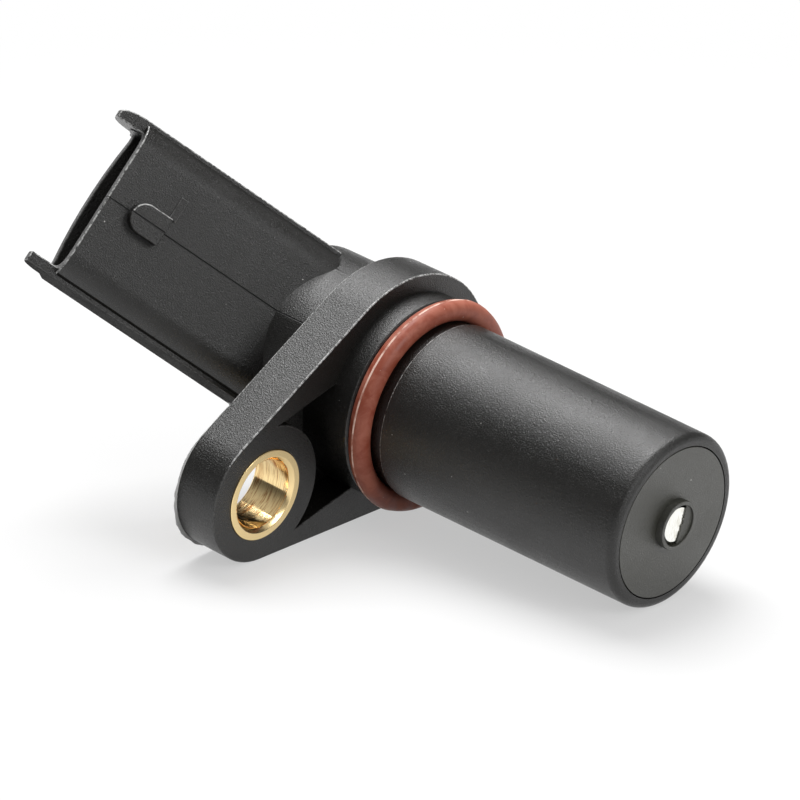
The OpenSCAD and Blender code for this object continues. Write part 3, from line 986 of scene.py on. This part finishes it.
    def glints_behind(self, place: Vector, upwards: Vector) -> bool:
        """Says whether a place is on the plug's near side, on the mouth's rim or the upper half, where the
        edges keep their painted highlight.

        Args:
            place: the place.
            upwards: the direction from the parting plane to the plug's upper side.

        Returns:
            True if it is.
        """
        from_root = place - self.face_root
        at_mouth = from_root.dot(self.mouth_way) > self.rim_start
        return from_root.dot(self.face_out) > -self.near_side and (at_mouth or place.dot(upwards) > 0)

    def glints_front(self, place: Vector) -> bool:
        """Says whether a place is on the flange's upper outline or on the barrel's chamfer, where the
        edges keep their painted highlight.

        Args:
            place: the place.

        Returns:
            True if it is.
        """
        upper = place.y > -self.outline / 2 and place.z > 0
        on_round = upper and math.hypot(place.y, place.z) > self.outline
        return on_round or place.dot(self.top_side) > self.outline or place.x > self.barrel_start

    def lit_flash(self) -> bmesh.types.BMesh:
        """Makes the thin uneven fin along the ear's rear edge.

        Returns:
            The fin's mesh.
        """
        low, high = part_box("bush")
        centre = (low + high) / 2
        centre.x = self.rear_face + self.flash_thickness
        first = Vector((0, math.cos(self.flash_start), math.sin(self.flash_start)))
        along = Vector((0, math.sin(self.flash_start), -math.cos(self.flash_start)))
        root = self.ear_radius - self.flash_root
        bm = bmesh.new()
        inner = bm.verts.new(centre + first * root + along * self.flash_straight)
        outer = bm.verts.new(centre + first * self.ear_radius + along * self.flash_straight)
        edges = [bm.edges.new((inner, outer))]
        turn = self.flash_end - self.flash_start
        steps = int(self.flash_steps * self.flash_straight / (self.ear_radius * turn))
        for _ in range(steps):
            grown = bmesh.ops.extrude_edge_only(bm, edges=edges)["geom"]
            verts = [item for item in grown if isinstance(item, bmesh.types.BMVert)]
            edges = [item for item in grown if isinstance(item, bmesh.types.BMEdge)]
            bmesh.ops.translate(bm, verts=verts, vec=-along * self.flash_straight / steps)
        bmesh.ops.spin(bm, geom=verts + edges, axis=(1, 0, 0), cent=centre, steps=self.flash_steps,
                       angle=turn)
        bmesh.ops.remove_doubles(bm, verts=bm.verts[:], dist=MERGE_DISTANCE)
        self.tear(bm, centre)
        bmesh.ops.recalc_face_normals(bm, faces=bm.faces[:])
        bmesh.ops.solidify(bm, geom=bm.faces[:], thickness=self.flash_thickness)
        for face in bm.faces:
            face.material_index = self.flash_slot
        return bm

    def tear(self, bm: bmesh.types.BMesh, centre: Vector) -> None:
        """Makes the fin's outer edge ragged, widest at the ear's end.

        Args:
            bm: the fin's flat ribbon.
            centre: the ear's centre, on the fin's plane.
        """
        for vert in bm.verts:
            away = vert.co - centre
            if away.length < self.ear_radius - self.flash_root / 2:
                continue
            turn = math.atan2(away.z, away.y) % (2 * math.pi)
            done = (turn - self.flash_start) / (self.flash_end - self.flash_start)
            share = max(0.0, math.sin(done * math.pi))
            waves = sum(height * noise.noise(vert.co / length) for height, length in self.tear_waves)
            width = self.flash_least + (self.flash_most - self.flash_least) * share
            vert.co += away.normalized() * width * max(self.tear_least, self.tear_mean + waves)


@dataclass
class SealRing:
    """The rubber ring, with the mould's fine flash line round its outer diameter, which carries a painted
    highlight.
    """

    profile_steps: int = 64
    turns: int = 180
    flash_height: float = 0.06 * MM
    flash_wander: float = 0.025 * MM
    flash_wave: float = 1.0 * MM

    def build(self) -> bpy.types.Object:
        """Builds the dressed ring.

        Returns:
            The piece.
        """
        low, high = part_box("o_ring")
        cord = (high.x - low.x) / 2
        reach = high.z - cord
        bm = bmesh.new()
        bmesh.ops.create_circle(bm, segments=self.profile_steps, radius=cord)
        bmesh.ops.rotate(bm, matrix=Matrix.Rotation(math.pi / 2, 3, "X"), verts=bm.verts[:])
        bmesh.ops.translate(bm, vec=((low.x + high.x) / 2, 0, reach), verts=bm.verts[:])
        bmesh.ops.spin(bm, geom=bm.verts[:] + bm.edges[:], axis=(1, 0, 0), cent=(0, 0, 0),
                       angle=2 * math.pi, steps=self.turns, use_merge=True)
        bmesh.ops.remove_doubles(bm, verts=bm.verts[:], dist=MERGE_DISTANCE)
        bmesh.ops.recalc_face_normals(bm, faces=bm.faces[:])
        self.raise_flash(bm, reach + cord)
        material = RubberFinish("seal_rubber").material()
        return finish_piece("seal_ring", bm, material, ("o_ring",), Shade.SMOOTH)

    def raise_flash(self, bm: bmesh.types.BMesh, outside: float) -> None:
        """Lifts the outermost loop into an uneven flash line and marks it for its painted highlight.

        Args:
            bm: the ring's mesh.
            outside: the ring's outer radius.
        """
        worn_and_glint = bm.faces.layers.float.new(EDGE_GLINT_AND_WEAR)
        for vert in bm.verts:
            away = Vector((0, vert.co.y, vert.co.z))
            if away.length > outside - MERGE_DISTANCE:
                lift = self.flash_height + self.flash_wander * noise.noise(vert.co / self.flash_wave)
                vert.co += away.normalized() * lift
                for face in vert.link_faces:
                    face[worn_and_glint] = 1.0


@dataclass
class FlangeBush:
    """The brass bush in the ear."""

    edge_radius: float = 0.07 * MM
    edge_turn: float = 30.0

    def build(self) -> bpy.types.Object:
        """Builds the dressed bush.

        Returns:
            The piece.
        """
        bm = merged_copy("bush")
        soften(bm, self.edge_radius, self.edge_turn, always)
        low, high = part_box("bush")
        material = MetalFinish("turned_brass", bore=(low + high) / 2).material()
        return finish_piece("flange_bush", bm, material, ("bush",))


@dataclass
class TipCore:
    """The coil former, whose disc closes the tip, and the pole pin in its raised ring."""

    edge_radius: float = 0.06 * MM
    edge_turn: float = 50.0
    slit: float = 0.10 * MM
    disc_rim: float = 7.3 * MM
    disc_front: float = 33.9 * MM
    film_radius: float = 2.05 * MM
    film_offset: float = 0.55 * MM
    film_bulge: float = 0.18 * MM
    film_ragged: float = 0.22 * MM
    film_wave: float = 0.22 * MM
    film_thickness: float = 0.12 * MM
    film_steps: int = 72
    film_cuts: int = 40
    film_side: Vector = field(default_factory=lambda: Vector((0, 0.972, -0.234)))

    def build(self) -> None:
        """Builds the dressed former and pin."""
        bm = merged_copy("coil_former")
        soften(bm, self.edge_radius, self.edge_turn, always, glint_and_wear=0.0)
        self.open_slit(bm)
        absorb(bm, self.film())
        material = PlasticFinish("former_plastic", dark=(0.032, 0.032, 0.024), pale=(0.15, 0.15, 0.12),
                                 specular=0.9).material()
        finish_piece("former_disc", bm, material, ("coil_former",))
        bm = merged_copy("pole_pin")
        soften(bm, self.edge_radius, self.edge_turn, always)
        material = MetalFinish("bright_iron", bright=(0.98, 0.98, 0.94), tarnish=(0.8, 0.78, 0.7),
                               rough_low=0.16, mark_stretch=(1.0, 1.0, 0.2)).material()
        finish_piece("pole_face", bm, material, ("pole_pin",))

    def open_slit(self, bm: bmesh.types.BMesh) -> None:
        """Draws the disc's front rim in a little, so that a fine slit shows round it at the tip.

        Args:
            bm: the former's mesh.
        """
        for vert in bm.verts:
            away = Vector((0, vert.co.y, vert.co.z))
            if away.length > self.disc_rim and vert.co.x > self.disc_front:
                vert.co -= away.normalized() * self.slit

    def film(self) -> bmesh.types.BMesh:
        """Makes the skin of plastic that crept over one side of the pin's face.

        Returns:
            The skin's mesh.
        """
        bm = bmesh.new()
        bmesh.ops.create_circle(bm, cap_ends=True, segments=self.film_steps, radius=self.film_radius)
        bmesh.ops.rotate(bm, matrix=Matrix.Rotation(math.pi / 2, 3, "Y"), verts=bm.verts[:])
        bmesh.ops.bisect_plane(bm, geom=bm.verts[:] + bm.edges[:] + bm.faces[:], clear_inner=True,
                               plane_co=self.film_side * self.film_offset, plane_no=self.film_side)
        cut = [edge for edge in bm.edges
               if abs(middle(edge).dot(self.film_side) - self.film_offset) < MERGE_DISTANCE]
        bmesh.ops.subdivide_edges(bm, edges=cut, cuts=self.film_cuts)
        for vert in bm.verts:
            if abs(vert.co.dot(self.film_side) - self.film_offset) < MERGE_DISTANCE:
                bow = 1 - (vert.co.length / self.film_radius) ** 2
                ragged = self.film_ragged * noise.noise(vert.co / self.film_wave)
                vert.co += self.film_side * bow * (self.film_bulge + ragged)
        skin = bmesh.ops.extrude_face_region(bm, geom=bm.faces[:])["geom"]
        raised = [item for item in skin if isinstance(item, bmesh.types.BMVert)]
        bmesh.ops.translate(bm, verts=raised, vec=(self.film_thickness, 0, 0))
        bmesh.ops.translate(bm, verts=bm.verts[:], vec=(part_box("pole_pin")[1].x, 0, 0))
        bmesh.ops.recalc_face_normals(bm, faces=bm.faces[:])
        return bm


@dataclass
class PlugTerminals:
    """The tinned blades in the plug's socket, with broken edges."""

    edge_radius: float = 0.10 * MM
    edge_turn: float = 50.0

    def build(self) -> None:
        """Builds the dressed terminals."""
        finish = MetalFinish("tinned_brass", bright=(0.74, 0.74, 0.72), tarnish=(0.5, 0.48, 0.44))
        material = finish.material()
        for name in ("coil_a", "coil_b", "screen"):
            bm = merged_copy(f"terminal_{name}")
            soften(bm, self.edge_radius, self.edge_turn, always, segments=2)
            finish_piece(f"blade_{name}", bm, material, (f"terminal_{name}",))


@dataclass
class CoilInside:
    """The winding, its leads and the magnet, which the moulding hides."""

    def build(self) -> None:
        """Dresses the hidden pieces."""
        copper = MetalFinish("enamelled_copper", bright=(0.62, 0.27, 0.13), tarnish=(0.30, 0.10, 0.04),
                             rough_low=0.3, mark_stretch=(1.0, 0.05, 0.05), mark_size=0.06 * MM).material()
        grey = MetalFinish("sintered_magnet", bright=(0.22, 0.22, 0.23), tarnish=(0.12, 0.12, 0.12),
                           rough_low=0.5, rough_high=0.7, mark_stretch=(1.0, 1.0, 1.0)).material()
        for node in ("coil_winding", "coil_lead_a", "coil_lead_b"):
            dress_node(node, copper)
        dress_node("magnet", grey)


def main() -> None:
    """Builds the studio and every piece in order."""
    logging.basicConfig(level=logging.INFO, format="%(name)s: %(message)s")
    Studio().build()
    Housing().build()
    SealRing().build()
    FlangeBush().build()
    TipCore().build()
    PlugTerminals().build()
    CoilInside().build()


if __name__ == "__main__":
    main()
